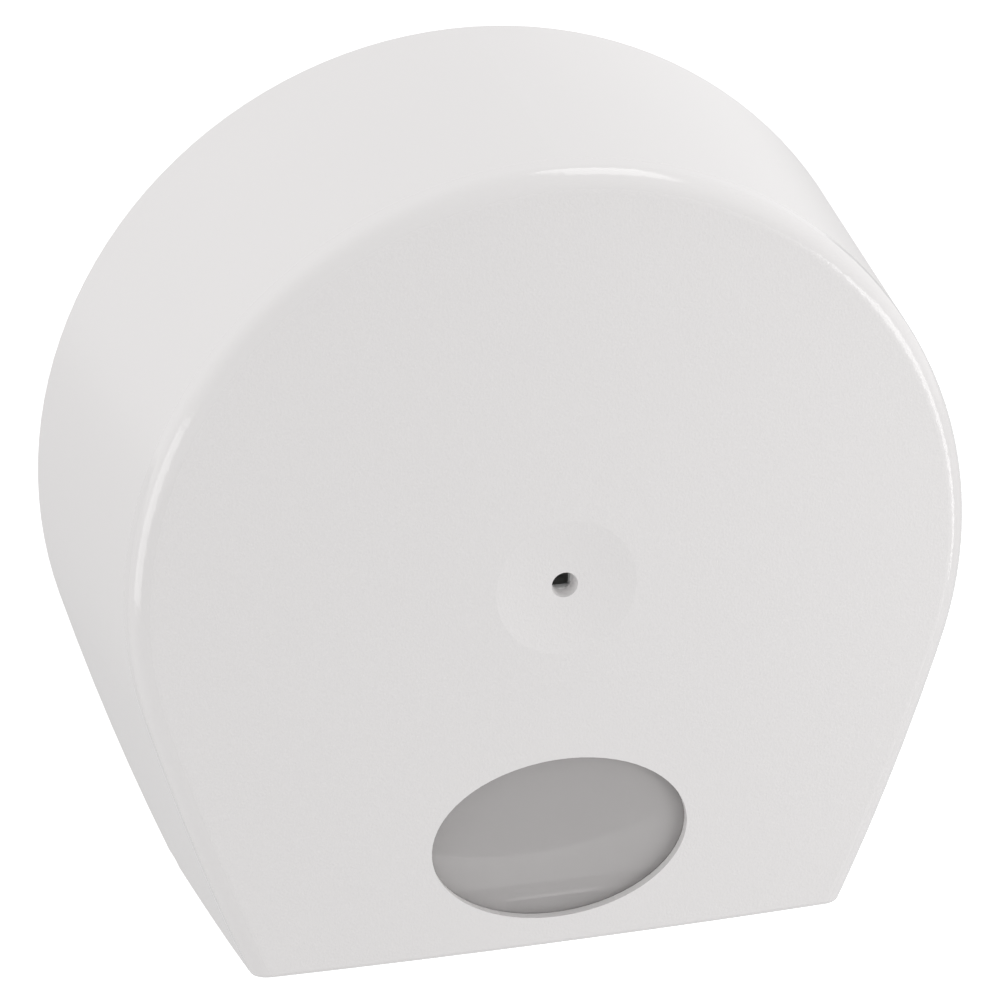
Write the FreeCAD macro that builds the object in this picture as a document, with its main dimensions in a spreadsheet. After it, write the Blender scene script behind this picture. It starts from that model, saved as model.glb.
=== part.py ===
import FreeCAD, Part
import math
import os
import re

import Sketcher

# A wall dispenser for centre-feed toilet tissue: a D-shaped cover, hinged along its flat bottom on a back
# plate, round a cradle that carries the roll. The paper is pulled out through the nozzle in the cover's
# dish, and a smoked window shows how much is left. Lengths are in mm and angles in degrees. The wall is
# the plane y = 0, the front faces -Y, +X is the right hand of someone facing it and +Z is up. Heights and
# widths are measured from the centre of the cover's round top, and depths from the wall.

SIZES = {
    # the cover's outline at its rim, and how it changes towards the front
    "rim_radius": 156,
    "shoulder_angle": 15.4,
    "side_radius": 1150,
    "cover_inset": 13.9,
    "bottom_drop": 156,
    "bottom_rise": 21,
    "bottom_bulge": 4.5,
    # the cover's depth, walls and roundings
    "rim_stand": 2,
    "cover_depth": 128,
    "front_crown": 7.9,
    "cover_wall": 3,
    "edge_round": 8,
    "bottom_round": 2.5,
    # how deep a moulded feature is rooted in its wall, and how far a cut runs past what it cuts
    "root": 0.3,
    "overrun": 12,
    "foot_overrun": 24,
    # the dish, the paper's hole and the collar behind them
    "nozzle_rise": 1.8,
    "dish_radius": 25,
    "dish_depth": 2.5,
    "mouth_radius": 4.5,
    "throat_radius": 3.5,
    "pad_thick": 4,
    "collar_bore": 17,
    "collar_wall": 3,
    "collar_height": 10,
    # the feed nozzle and the ring that keeps it in the collar
    "nozzle_gap": 0.1,
    "nozzle_fit": 0.1,
    "nozzle_flange": 3,
    "throat_side": 6.4,
    "funnel_neck": 4.6,
    "funnel_mouth": 11,
    "funnel_wall": 2,
    "funnel_depth": 13,
    "ring_bore": 13.5,
    "ring_thick": 3,
    "ring_slot": 3,
    # the window, its lens, and the posts and clips that hold the lens
    "window_half_width": 45.1,
    "window_half_height": 31.6,
    "window_rise": 62.1,
    "lens_margin": 3.5,
    "lens_gap": 0.3,
    "lens_thick": 2.5,
    "ear_radius": 5,
    "ear_across": 42,
    "ear_along": 21,
    "post_radius": 1.5,
    "post_fit": 0.2,
    "post_tip": 1.5,
    "clip_radius": 4,
    "clip_thick": 0.8,
    "clip_gap": 0.35,
    "clip_fit": 0.02,
    "tab_half_width": 17,
    "tab_height": 5,
    "tab_thick": 2,
    # the back plate
    "plate_thick": 3,
    "plate_gap": 2.5,
    "plate_rib_wall": 2.5,
    "plate_rib_height": 9,
    "wall_hole_radius": 3,
    "wall_hole_inset": 76,
    "wall_boss_radius": 9,
    "wall_boss_height": 2,
    "sill_thick": 2.5,
    "sill_height": 1,
    "sill_inset": 6.4,
    "stiffener_wall": 1.6,
    "stiffener_height": 2,
    "stiffener_ring": 60,
    "stiffener_room": 14,
    # the hinge along the bottom
    "hinge_reach": 10,
    "hinge_rise": 6,
    "hinge_inset": 36.4,
    "knuckle_radius": 4.5,
    "knuckle_length": 14,
    "arm_reach": 14,
    "arm_rise": 3,
    "arm_sink": 1.8,
    "lug_thick": 5.5,
    "hinge_gap": 1,
    "notch_reach": 7,
    "notch_gap": 1.5,
    "pin_radius": 2,
    "pin_fit": 0.05,
    "pin_head_radius": 3.6,
    "pin_head_thick": 1.5,
    "pin_tail": 1.4,
    "pin_clip_radius": 4.2,
    "pin_clip_thick": 0.8,
    "pin_clip_gap": 0.2,
    "bush_wall": 1,
    "bush_length": 6,
    "bush_flange": 0.8,
    "bush_flange_radius": 4.2,
    # the cam lock in the right wall
    "lock_reach": 24,
    "lock_sink": 5.8,
    "lock_boss_radius": 11.5,
    "lock_boss_length": 8.2,
    "lock_flange_radius": 9.9,
    "lock_flange_thick": 2.2,
    "lock_recess_gap": 0.3,
    "barrel_radius": 8,
    "barrel_fit": 0.05,
    "barrel_length": 14.2,
    "nut_radius": 11.5,
    "nut_thick": 3.4,
    "nut_gap": 0.05,
    "plug_radius": 6,
    "plug_fit": 0.05,
    "plug_head_radius": 7,
    "plug_head_fit": 0.1,
    "plug_head_thick": 1.5,
    "plug_sink": 0.4,
    "plug_proud": 0.3,
    "key_slot_width": 1.8,
    "key_slot_length": 9,
    "key_slot_depth": 3,
    "tail_side": 8,
    "tail_short": 0.2,
    "tail_fit": 0.05,
    "cam_hub_radius": 7.5,
    "cam_thick": 2.2,
    "cam_width": 10,
    "cam_length": 18,
    "washer_radius": 6.5,
    "washer_thick": 1,
    "cam_screw_depth": 9,
    # the keeper that the cam turns behind
    "keeper_thick": 2.5,
    "keeper_width": 6,
    "keeper_base_width": 11,
    "keeper_base": 21,
    "keeper_gap": 1.5,
    "keeper_clear": 2.5,
    "keeper_lip": 11,
    "keeper_screw_first": 8,
    "keeper_screw_step": 9,
    # the catch at the top, and the blade on the cover that it grips
    "catch_sink": 16,
    "blade_thick": 2,
    "blade_half_width": 12,
    "blade_reach": 10,
    "blade_length": 17,
    "blade_web": 3,
    "blade_web_drop": 3,
    "catch_gap": 0.5,
    "finger_thick": 2,
    "finger_reach": 20,
    "catch_thick": 2.5,
    "catch_half_width": 14,
    "catch_skirt": 17,
    "catch_screw_across": 8,
    "catch_screw_drop": 12,
    # the cradle that carries the roll
    "cradle_room": 29.5,
    "cradle_wall": 2.5,
    "cradle_half_span": 55,
    "cradle_reach": 82,
    "cradle_flange": 3,
    "cradle_flange_width": 12,
    "apron_half_width": 70,
    "apron_hang": 9.5,
    "apron_thick": 2.5,
    "web_across": 45,
    "web_thick": 3,
    "cradle_screw_inner_angle": 30,
    "cradle_screw_outer_angle": 48,
    # the pan-head screws
    "screw_radius": 1.75,
    "screw_fit": 0.05,
    "screw_stop": 0.6,
    "head_radius": 3.2,
    "head_height": 2.2,
    "recess_width": 0.9,
    "recess_length": 3.8,
    "recess_depth": 1.2,
}

DERIVED = {
    "apex": "rim_stand + cover_depth",
    "middle": "rim_stand + cover_depth / 2",
    "bottom_front": "bottom_drop - bottom_rise",
    # the bottom is an arc over its chord from rim to front, drawn on to the wall and past the front
    "bottom_chord": "sqrt(cover_depth ^ 2 + bottom_rise ^ 2)",
    "bottom_curve": "bottom_chord ^ 2 / (8 * bottom_bulge) + bottom_bulge / 2",
    "bottom_centre_y": "(bottom_curve - bottom_bulge) * bottom_rise / bottom_chord - middle",
    "bottom_centre_z": "(bottom_curve - bottom_bulge) * cover_depth / bottom_chord"
                       " - (bottom_drop + bottom_front) / 2",
    "bottom_at_wall": "sqrt(bottom_curve ^ 2 - bottom_centre_y ^ 2) - bottom_centre_z",
    "bottom_past_front": "sqrt(bottom_curve ^ 2 - (apex + overrun + bottom_centre_y) ^ 2) - bottom_centre_z",
    "foot_drop": "bottom_drop + foot_overrun",
    "side_centre_x": "(side_radius - rim_radius) * cos(shoulder_angle)",
    "side_centre_z": "(side_radius - rim_radius) * sin(shoulder_angle)",
    # the front is a shallow dome, and the bay behind it has one of its own, a wall's thickness smaller
    "dome_reach": "sqrt(rim_radius ^ 2 + foot_drop ^ 2)",
    "cover_dome": "(rim_radius ^ 2 + front_crown ^ 2) / (2 * front_crown)",
    "cover_dome_fall": "cover_dome - sqrt(cover_dome ^ 2 - dome_reach ^ 2)",
    "bay_dome": "cover_dome - cover_wall",
    "bay_dome_fall": "bay_dome - sqrt(bay_dome ^ 2 - dome_reach ^ 2)",
    "pad_rear": "apex - cover_wall - pad_thick",
    "dish_curve": "(dish_radius ^ 2 + dish_depth ^ 2) / (2 * dish_depth)",
    "mouth_depth": "apex - dish_depth + dish_curve - sqrt(dish_curve ^ 2 - mouth_radius ^ 2)",
    "funnel_rear": "pad_rear - nozzle_gap - nozzle_flange - funnel_depth",
    "ring_front": "pad_rear - 2 * nozzle_gap - nozzle_flange",
    # the window's place, and depths of the bay's front wall at the upper and the lower posts of the lens
    "window_drop": "bottom_drop - window_rise",
    "lens_base": "apex - 2 * overrun",
    "post_high_face": "apex - cover_wall - bay_dome"
                      " + sqrt(bay_dome ^ 2 - ear_across ^ 2 - (window_drop - ear_along) ^ 2)",
    "post_low_face": "apex - cover_wall - bay_dome"
                     " + sqrt(bay_dome ^ 2 - ear_across ^ 2 - (window_drop + ear_along) ^ 2)",
    "post_length": "lens_gap + lens_thick + clip_gap + clip_thick + post_tip",
    # the plate's wall holes and the hinge's place
    "wall_hole_out": "min(rim_radius; bottom_drop) - wall_hole_inset",
    "hinge_drop": "bottom_drop - hinge_rise",
    "hinge_across": "plate_foot_x - hinge_inset",
    "sill_half_width": "plate_foot_x - sill_inset",
    # places along X in the lock, from its seat inwards, and the wall's inside at the rear of its boss
    "lock_share": "(lock_reach - lock_boss_radius - rim_stand) / cover_depth",
    "lock_wall": "rim_radius - cover_wall - cover_inset * lock_share",
    "lock_seat": "rim_radius - lock_sink",
    "barrel_rear": "lock_seat - barrel_length",
    "boss_rear": "lock_seat - lock_boss_length",
    "plug_face": "lock_seat + lock_flange_thick - plug_sink",
    "cam_face": "barrel_rear - plug_proud",
    "cam_rear": "cam_face - cam_thick",
    "washer_rear": "cam_rear - washer_thick",
    "keeper_left": "cam_face - cam_thick / 2 - keeper_width / 2",
    "keeper_base_left": "cam_face - cam_thick / 2 - keeper_base_width / 2",
    "keeper_seat": "plate_thick + keeper_thick",
    "keeper_arm": "cam_length + keeper_clear",
    "keeper_top": "keeper_arm + keeper_base",
    "keeper_rear": "lock_reach + cam_width / 2 + keeper_gap",
    "keeper_front": "keeper_rear + keeper_thick",
    "keeper_tip": "keeper_arm - keeper_lip",
    # heights of the catch's two fingers and depth of its base, and the wall's inside over the blade
    "blade_share": "(blade_reach + blade_length - rim_stand) / cover_depth",
    "blade_wall": "rim_radius - cover_wall - cover_inset * blade_share",
    "catch_rise": "rim_radius - catch_sink",
    "catch_seat": "plate_thick + catch_thick",
    "finger_inner": "blade_thick / 2 + catch_gap",
    "catch_low": "catch_rise - finger_inner - finger_thick - catch_skirt",
    "low_finger_low": "catch_rise - finger_inner - finger_thick",
    "low_finger_high": "catch_rise - finger_inner",
    "high_finger_low": "catch_rise + finger_inner",
    "high_finger_high": "catch_rise + finger_inner + finger_thick",
    # the cradle's arcs, from the nozzle's axis, and its apron and webs
    "cradle_radius": "min(rim_radius; bottom_drop) - cradle_room",
    "cradle_outer": "cradle_radius + cradle_wall",
    "cradle_middle": "cradle_radius + cradle_wall / 2",
    "cradle_edge": "cradle_outer + cradle_flange_width",
    "cradle_screw_circle": "cradle_outer + cradle_flange_width / 2",
    "cradle_seat": "plate_thick + cradle_flange",
    "cradle_length": "cradle_reach - plate_thick",
    "cradle_in_x": "cradle_radius * sin(cradle_half_span)",
    "cradle_in_z": "cradle_radius * cos(cradle_half_span)",
    "cradle_out_x": "cradle_outer * sin(cradle_half_span)",
    "cradle_out_z": "cradle_outer * cos(cradle_half_span)",
    "cradle_edge_x": "cradle_edge * sin(cradle_half_span)",
    "cradle_edge_z": "cradle_edge * cos(cradle_half_span)",
    "apron_shoulder": "sqrt(cradle_middle ^ 2 - apron_half_width ^ 2)",
    "apron_foot": "cradle_outer + apron_hang",
    "apron_drop": "apron_foot - nozzle_rise",
    "stiffener_reach": "cradle_radius - stiffener_room",
    "web_top": "sqrt(cradle_middle ^ 2 - web_across ^ 2)",
}

# Outlines of one family: a round top whose shoulders run into nearly straight sides and a flat foot.
# Each has its depth from the wall, its inset from the cover's rim and the drop of its foot.
OUTLINES = {
    "cover_rear": ("rim_stand", "0", "foot_drop"),
    "cover_front": ("apex", "cover_inset", "foot_drop"),
    "bay_rear": ("rim_stand", "cover_wall", "foot_drop"),
    "bay_front": ("apex", "cover_inset + cover_wall", "foot_drop"),
    "plate": ("0", "cover_wall + plate_gap", "bottom_drop"),
    "rib": ("plate_thick", "cover_wall + plate_gap + plate_rib_wall", "bottom_drop"),
}
for outline, (_, inset, foot) in OUTLINES.items():
    DERIVED[outline + "_round"] = f"rim_radius - ({inset})"
    DERIVED[outline + "_side"] = f"side_radius - ({inset})"
    DERIVED[outline + "_shoulder_x"] = f"{outline}_round * cos(shoulder_angle)"
    DERIVED[outline + "_shoulder_z"] = f"{outline}_round * sin(shoulder_angle)"
    DERIVED[outline + "_foot"] = foot
    DERIVED[outline + "_foot_x"] = (f"sqrt({outline}_side ^ 2 - ({outline}_foot + side_centre_z) ^ 2)"
                                    " - side_centre_x")

doc = FreeCAD.newDocument("dispenser")
sheet = doc.addObject("Spreadsheet::Sheet", "sizes")
for row, (alias, value) in enumerate(SIZES.items(), 1):
    sheet.set(f"A{row}", alias)
    sheet.set(f"B{row}", str(value))
    sheet.setAlias(f"B{row}", alias)
for row, alias in enumerate(DERIVED, 1):
    sheet.set(f"C{row}", alias)
    sheet.setAlias(f"D{row}", alias)
for row, formula in enumerate(DERIVED.values(), 1):
    sheet.set(f"D{row}", "=" + formula)
doc.recompute()

PLAIN = FreeCAD.Rotation()
TURNS = {
    "front": FreeCAD.Rotation(FreeCAD.Vector(1, 0, 0), 90),
    "right": FreeCAD.Rotation(FreeCAD.Vector(0, 1, 0), 90),
}
ROUND = 360
ON_PLANE = 1e-4


def bound(text):
    """The expression for a formula in the sheet's names."""
    return re.sub(r"\b(?!(?:sin|cos|sqrt|min)\b)[a-z]\w*", r"sizes.\g<0>", text)


def measure(text):
    """The value of a sum of the sheet's names, such as "apex - cover_wall"."""
    total = 0.0
    sign = 1
    for word in text.replace("-", " - ").split():
        if word in "+-":
            sign = 1 if word == "+" else -1
        elif word != "0":
            total += sign * sheet.get(word)
    return total


def bind(thing, **formulas):
    for name, formula in formulas.items():
        thing.setExpression(name, bound(formula))
    return thing


def put(thing, x, y, z, turn=PLAIN):
    """Turns a thing and binds its place."""
    thing.Placement = FreeCAD.Placement(FreeCAD.Vector(), turn)
    for axis, formula in zip("xyz", (x, y, z)):
        if formula != "0":
            thing.setExpression("Placement.Base." + axis, bound(formula))
    return thing


def box(name, length, width, height, x, y, z):
    """A block from its corner of least x, y and z."""
    made = bind(doc.addObject("Part::Box", name), Length=length, Width=width, Height=height)
    return put(made, x, y, z)


def rod(name, radius, length, x, y, z, along):
    """A round bar that starts at a place and runs to the front or to the right."""
    made = bind(doc.addObject("Part::Cylinder", name), Radius=radius, Height=length)
    return put(made, x, y, z, TURNS[along])


def fuse(name, *pieces):
    made = doc.addObject("Part::MultiFuse", name)
    made.Shapes = list(pieces)
    return made


def cut(name, base, *tools):
    made = doc.addObject("Part::Cut", name)
    made.Base = base
    made.Tool = tools[0] if len(tools) == 1 else fuse(name + "_tools", *tools)
    return made


def group(name, *pieces):
    made = doc.addObject("Part::Compound", name)
    made.Links = list(pieces)
    return made


def mirrored(name, piece):
    """The same piece on the left."""
    made = doc.addObject("Part::Mirroring", name)
    made.Source = piece
    made.Normal = FreeCAD.Vector(1, 0, 0)
    return made


def ring(name, outer, inner, length, x, y, z, along):
    """A washer or a sleeve."""
    hole = rod(name + "_hole", inner, length, x, y, z, along)
    return cut(name, rod(name + "_disc", outer, length, x, y, z, along), hole)


def sketch_on(body, name, plane, away="0", up="0"):
    """A sketch on one of the body's own planes, moved along the plane's normal and up in it."""
    made = body.newObject("Sketcher::SketchObject", name)
    made.AttachmentSupport = (next(f for f in body.Origin.OriginFeatures if f.Role == plane), "")
    made.MapMode = "FlatFace"
    if away != "0":
        made.setExpression("AttachmentOffset.Base.z", bound(away))
    if up != "0":
        made.setExpression("AttachmentOffset.Base.y", bound(up))
    return made


def arc_between(start, end, radius, turns_left):
    """The shorter arc between two points, with its centre on the left or the right of the way there."""
    chord = end - start
    height = math.sqrt(radius ** 2 - (chord.Length / 2) ** 2)
    side = FreeCAD.Vector(-chord.y, chord.x, 0).normalize() * (height if turns_left else -height)
    centre = start + chord / 2 + side
    first, last = (start, end) if turns_left else (end, start)
    angles = [math.atan2(p.y - centre.y, p.x - centre.x) for p in (first, last)]
    circle = Part.Circle(centre, FreeCAD.Vector(0, 0, 1), radius)
    return Part.ArcOfCircle(circle, angles[0], angles[1])


def loop(sketch, corners, arcs=None):
    """A closed loop through corners given as sums of sizes. arcs gives, by the number of the corner that
    an arc leaves, its radius and whether it turns left."""
    arcs = arcs or {}
    first = sketch.GeometryCount
    places = [FreeCAD.Vector(measure(x), measure(y), 0) for x, y in corners]
    ends = []
    for number, start in enumerate(places):
        end = places[(number + 1) % len(places)]
        radius, turns_left = arcs.get(number, (None, True))
        if radius:
            edge = sketch.addGeometry(arc_between(start, end, measure(radius), turns_left), False)
            index = sketch.addConstraint(Sketcher.Constraint("Radius", edge, measure(radius)))
            sketch.setExpression(f"Constraints[{index}]", bound(radius))
        else:
            sketch.addGeometry(Part.LineSegment(start, end), False)
        ends.append((1, 2) if turns_left else (2, 1))
    for number, (x, y) in enumerate(corners):
        edge = first + number
        before = (number - 1) % len(corners)
        sketch.addConstraint(Sketcher.Constraint("Coincident", first + before, ends[before][1], edge,
                                                 ends[number][0]))
        for kind, axis, formula in (("DistanceX", -2, x), ("DistanceY", -1, y)):
            if formula == "0":
                sketch.addConstraint(Sketcher.Constraint("PointOnObject", edge, ends[number][0], axis))
                continue
            index = sketch.addConstraint(Sketcher.Constraint(kind, edge, ends[number][0], measure(formula)))
            sketch.setExpression(f"Constraints[{index}]", bound(formula))
    return sketch


def outline_sketch(body, outline):
    """One of the outlines, at its own depth."""
    sketch = sketch_on(body, outline + "_outline", "XZ_Plane", OUTLINES[outline][0])
    top = f"{outline}_round"
    corners = [("0", top),
               (f"-{outline}_shoulder_x", f"-{outline}_shoulder_z"),
               (f"-{outline}_foot_x", f"-{outline}_foot"),
               (f"{outline}_foot_x", f"-{outline}_foot"),
               (f"{outline}_shoulder_x", f"-{outline}_shoulder_z")]
    side = (f"{outline}_side", True)
    return loop(sketch, corners, {0: (top, True), 1: side, 3: side, 4: (top, True)})


def feature(body, kind, name, sketch, **formulas):
    """A sketch-based feature, which has to add to the body or take from it."""
    before = body.Shape.Volume if body.Tip else 0
    made = body.newObject("PartDesign::" + kind, name)
    made.Profile = sketch
    bind(made, **formulas)
    return made, before


def turned(body, kind, name, sketch):
    """A revolution or a groove about the sketch's upright axis."""
    made, before = feature(body, kind, name, sketch)
    made.ReferenceAxis = (sketch, ["V_Axis"])
    made.Angle = ROUND
    return settle(body, made, before)


def padded(body, name, sketch, length):
    made, before = feature(body, "Pad", name, sketch, Length=length)
    return settle(body, made, before)


def lofted(body, name, sketches):
    made, before = feature(body, "AdditiveLoft", name, sketches[0])
    made.Sections = sketches[1:]
    made.Ruled = True
    return settle(body, made, before)


def settle(body, made, before):
    """Recomputes, and stops the build if a feature failed or changed nothing."""
    doc.recompute()
    if not made.isValid() or abs(body.Shape.Volume - before) < ON_PLANE:
        raise RuntimeError(f"{made.Name} failed or changed nothing")
    return made


def rounded(body, name, base, radius, wanted):
    """Rounds the edges of the body that a test picks."""
    edges = [f"Edge{number}" for number, edge in enumerate(body.Shape.Edges, 1) if wanted(edge)]
    before = body.Shape.Volume
    made = body.newObject("PartDesign::Fillet", name)
    made.Base = (base, edges)
    bind(made, Radius=radius)
    return settle(body, made, before)


def pan_screw(name, x, z, seat):
    """A cross-head screw that runs from its seat back into the plate."""
    head_face = f"-({seat} + head_height)"
    head = rod(name + "_head", "head_radius", "head_height", x, f"-({seat})", z, "front")
    shank = rod(name + "_shank", "screw_radius", f"{seat} - screw_stop", x, "-screw_stop", z, "front")
    across = box(name + "_across", "recess_length", "recess_depth", "recess_width",
                 f"{x} - recess_length / 2", head_face, f"{z} - recess_width / 2")
    upright = box(name + "_upright", "recess_width", "recess_depth", "recess_length",
                  f"{x} - recess_width / 2", head_face, f"{z} - recess_length / 2")
    return cut(name, fuse(name + "_blank", head, shank), across, upright)


# The cover's shell: one ABS moulding with drafted walls, a gently domed front and a curved bottom. Its bay
# is a block of the same form, a wall's thickness smaller.
def at_front(edge):
    """Whether an edge bounds the front above the bottom, apart from the dome's own seam."""
    above = edge.CenterOfMass.z > sheet.overrun - sheet.bottom_front
    return above and all(-v.Y > sheet.middle and abs(v.X) + abs(v.Z) > ON_PLANE for v in edge.Vertexes)


def domed_block(name, sunk, rounding):
    """A block with the cover's outlines, dome, front rounding and curved bottom, sunk in by a wall or not."""
    body = doc.addObject("PartDesign::Body", name + "_block")
    lofted(body, name + "_loft", [outline_sketch(body, f"{name}_{place}") for place in ("rear", "front")])
    profile = loop(sketch_on(body, name + "_dome_profile", "XY_Plane"),
                   [("0", "-apex - overrun"), ("dome_reach", "-apex - overrun"),
                    ("dome_reach", f"-apex + {sunk} + {name}_dome_fall"), ("0", f"-apex + {sunk}")],
                   {2: (f"{name}_dome", False)})
    dome = turned(body, "Groove", name + "_front", profile)
    rounded(body, name + "_edge", dome, rounding, at_front)
    under = loop(sketch_on(body, name + "_under_profile", "YZ_Plane", "dome_reach"),
                 [("0", f"-bottom_at_wall + {sunk}"), ("-apex - overrun", f"-bottom_past_front + {sunk}"),
                  ("-apex - overrun", "-foot_drop - overrun"), ("0", "-foot_drop - overrun")],
                 {0: ("bottom_curve", False)})
    bottom, before = feature(body, "Pocket", name + "_bottom", under, Length="2 * dome_reach")
    return body, settle(body, bottom, before)


shell, shell_bottom = domed_block("cover", "0", "edge_round")


def at_bottom(edge):
    """Whether an edge bounds the curved bottom, apart from the one at the rim."""
    bottoms = [face for face in shell.Shape.Faces if isinstance(face.Surface, Part.Cylinder)
               and abs(face.Surface.Radius - sheet.bottom_curve) < ON_PLANE]
    behind = all(abs(v.Y + sheet.rim_stand) < ON_PLANE for v in edge.Vertexes)
    return not behind and any(edge.isSame(side) for face in bottoms for side in face.Edges)


rounded(shell, "bottom_edge", shell_bottom, "bottom_round", at_bottom)
bay, _ = domed_block("bay", "cover_wall", "edge_round - cover_wall")
collar_body = doc.addObject("PartDesign::Body", "collar_body")
collar = loop(sketch_on(collar_body, "collar_profile", "XY_Plane", "nozzle_rise"),
              [("0", "-apex + cover_wall - root"),
               ("collar_bore + collar_wall", "-apex + cover_wall - root"),
               ("collar_bore + collar_wall", "-pad_rear + collar_height"),
               ("collar_bore", "-pad_rear + collar_height"), ("collar_bore", "-pad_rear"),
               ("0", "-pad_rear")])
turned(collar_body, "Revolution", "collar", collar)
dish_body = doc.addObject("PartDesign::Body", "dish_body")
dish = loop(sketch_on(dish_body, "dish_profile", "XY_Plane", "nozzle_rise"),
            [("0", "-apex - overrun"), ("dish_radius", "-apex - overrun"), ("dish_radius", "-apex"),
             ("mouth_radius", "-mouth_depth"), ("throat_radius", "-pad_rear"), ("0", "-pad_rear")],
            {2: ("dish_curve", True)})
turned(dish_body, "Revolution", "dish", dish)

# What the cover carries: lens posts, hinge knuckles, the lock's boss and the catch's blade.
ears = {"upper_right": ("ear_across", "-(window_drop - ear_along)", "post_high_face"),
        "upper_left": ("-ear_across", "-(window_drop - ear_along)", "post_high_face"),
        "lower_right": ("ear_across", "-(window_drop + ear_along)", "post_low_face"),
        "lower_left": ("-ear_across", "-(window_drop + ear_along)", "post_low_face")}
posts = [rod(f"post_{name}", "post_radius", "post_length + root", x, f"-({face} - post_length)", z, "front")
         for name, (x, z, face) in ears.items()]
knuckle_left = "hinge_across - knuckle_length / 2"
knuckle = fuse("knuckle",
               rod("knuckle_barrel", "knuckle_radius", "knuckle_length", knuckle_left, "-hinge_reach",
                   "-hinge_drop", "right"),
               box("knuckle_arm", "knuckle_length", "arm_reach", "hinge_rise - arm_sink + arm_rise",
                   knuckle_left, "-(hinge_reach + arm_reach)", "-(bottom_drop - arm_sink)"))
lock_boss = rod("lock_boss", "lock_boss_radius", "lock_wall + root - boss_rear", "boss_rear", "-lock_reach",
                "0", "right")
blade_web = box("blade_web", "2 * blade_half_width", "blade_web",
                "blade_wall + root - catch_rise + blade_web_drop", "-blade_half_width",
                "-(blade_reach + blade_length + blade_web)", "catch_rise - blade_web_drop")
blade = box("blade", "2 * blade_half_width", "blade_length + root", "blade_thick", "-blade_half_width",
            "-(blade_reach + blade_length + root)", "catch_rise - blade_thick / 2")
relief = box("relief", "2 * dome_reach", "hinge_reach", "foot_overrun", "-dome_reach", "-hinge_reach",
             "-(hinge_drop + foot_overrun)")
notch = box("notch", "knuckle_length + 2 * (hinge_gap + lug_thick + notch_gap)", "notch_reach + overrun",
            "foot_overrun", f"{knuckle_left} - hinge_gap - lug_thick - notch_gap",
            "-(hinge_reach + notch_reach)", "-(hinge_drop + foot_overrun)")
window_edge = bind(doc.addObject("Part::Ellipse", "window_edge"), MajorRadius="window_half_width",
                   MinorRadius="window_half_height")
put(window_edge, "0", "-lens_base", "-window_drop", TURNS["front"])
lens_edge = bind(doc.addObject("Part::Ellipse", "lens_edge"), MajorRadius="window_half_width + lens_margin",
                 MinorRadius="window_half_height + lens_margin")
put(lens_edge, "0", "-lens_base", "-window_drop", TURNS["front"])


def pushed_out(name, edge):
    """A bar of an edge's section, to the front from where the edge lies."""
    made = bind(doc.addObject("Part::Extrusion", name), LengthFwd="apex + overrun - lens_base")
    made.Base = edge
    made.DirMode = "Custom"
    made.Dir = FreeCAD.Vector(0, -1, 0)
    made.Solid = True
    return made


hinge_bore = rod("hinge_bore", "pin_radius + pin_fit + bush_wall", "knuckle_length", knuckle_left,
                 "-hinge_reach", "-hinge_drop", "right")
lock_bore = rod("lock_bore", "barrel_radius + barrel_fit", "lock_sink + lock_boss_length", "boss_rear",
                "-lock_reach", "0", "right")
lock_recess = rod("lock_recess", "lock_flange_radius + lock_recess_gap", "lock_sink", "lock_seat",
                  "-lock_reach", "0", "right")
opened = cut("cover_opened", shell, bay, relief, notch, mirrored("notch_left", notch),
             pushed_out("window_cut", window_edge))
carrying = fuse("cover_carrying", opened, collar_body, *posts, knuckle, mirrored("knuckle_left", knuckle),
                lock_boss, blade_web, blade)
cover = cut("front_cover", carrying, dish_body, hinge_bore, mirrored("hinge_bore_left", hinge_bore),
            lock_bore, lock_recess)

# The window's lens: a slice of a dome that lies close behind the front wall, with an ear for each post
# and a stiffening tab along its foot.
dome_centre = "-(apex - cover_dome)"
lens_front = bind(doc.addObject("Part::Sphere", "lens_front"), Radius="bay_dome - lens_gap")
lens_back = bind(doc.addObject("Part::Sphere", "lens_back"), Radius="bay_dome - lens_gap - lens_thick")
tab_back = bind(doc.addObject("Part::Sphere", "tab_back"),
                Radius="bay_dome - lens_gap - lens_thick - tab_thick")
for sphere in (lens_front, lens_back, tab_back):
    put(sphere, "0", dome_centre, "0", FreeCAD.Rotation(FreeCAD.Vector(0, 0, 1), 90))
lens_bar = pushed_out("lens_bar", lens_edge)
ear_bars = [rod(f"ear_{name}", "ear_radius", "apex - lens_base", x, "-lens_base", z, "front")
            for name, (x, z, face) in ears.items()]
ear_holes = [rod(f"ear_hole_{name}", "post_radius + post_fit", "apex - lens_base", x, "-lens_base", z,
                 "front") for name, (x, z, face) in ears.items()]
tab_block = box("tab_block", "2 * tab_half_width", "apex - lens_base", "tab_height + lens_margin",
                "-tab_half_width", "-apex", "-(window_drop + window_half_height + lens_margin)")
tab_bar = doc.addObject("Part::MultiCommon", "tab_bar")
tab_bar.Shapes = [tab_block, lens_bar, lens_front]
lens_slice = doc.addObject("Part::MultiCommon", "lens_slice")
lens_slice.Shapes = [fuse("lens_blank", lens_bar, *ear_bars), lens_front]
lens = cut("inspection_window",
           fuse("lens_body", cut("lens_plain", lens_slice, lens_back), cut("lens_tab", tab_bar, tab_back)),
           *ear_holes)
window_clips = group("window_clips",
                     *[ring(f"window_clip_{name}", "clip_radius", "post_radius + clip_fit", "clip_thick", x,
                            f"-({face} - lens_gap - lens_thick - clip_gap - clip_thick)", z, "front")
                       for name, (x, z, face) in ears.items()])

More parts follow.
